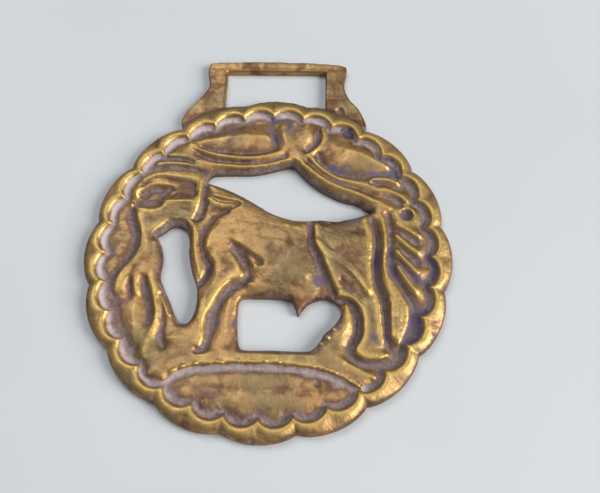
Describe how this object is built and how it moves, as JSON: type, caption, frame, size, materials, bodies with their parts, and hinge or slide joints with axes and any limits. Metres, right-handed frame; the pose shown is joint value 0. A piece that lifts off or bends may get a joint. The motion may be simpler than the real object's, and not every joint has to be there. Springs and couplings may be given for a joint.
{
  "type": "horse brass",
  "caption": "Round cast harness ornament with a lobed edge, a bull in openwork relief inside a scalloped rim, and a slotted hanger for a strap.",
  "frame": {"origin": "bottom centre of the box, on the flat back face", "axes": "+Z out of the relief, +Y towards the strap hanger, +X to the bull's tail"},
  "size_m": [0.075, 0.0862, 0.0041],
  "materials": {
    "aged_brass": "aged cast brass, worn semi-gloss with pale and violet grime in the recesses"
  },
  "bodies": {
    "root": {"horse_brass": "aged_brass"}
  },
  "joints": []
}
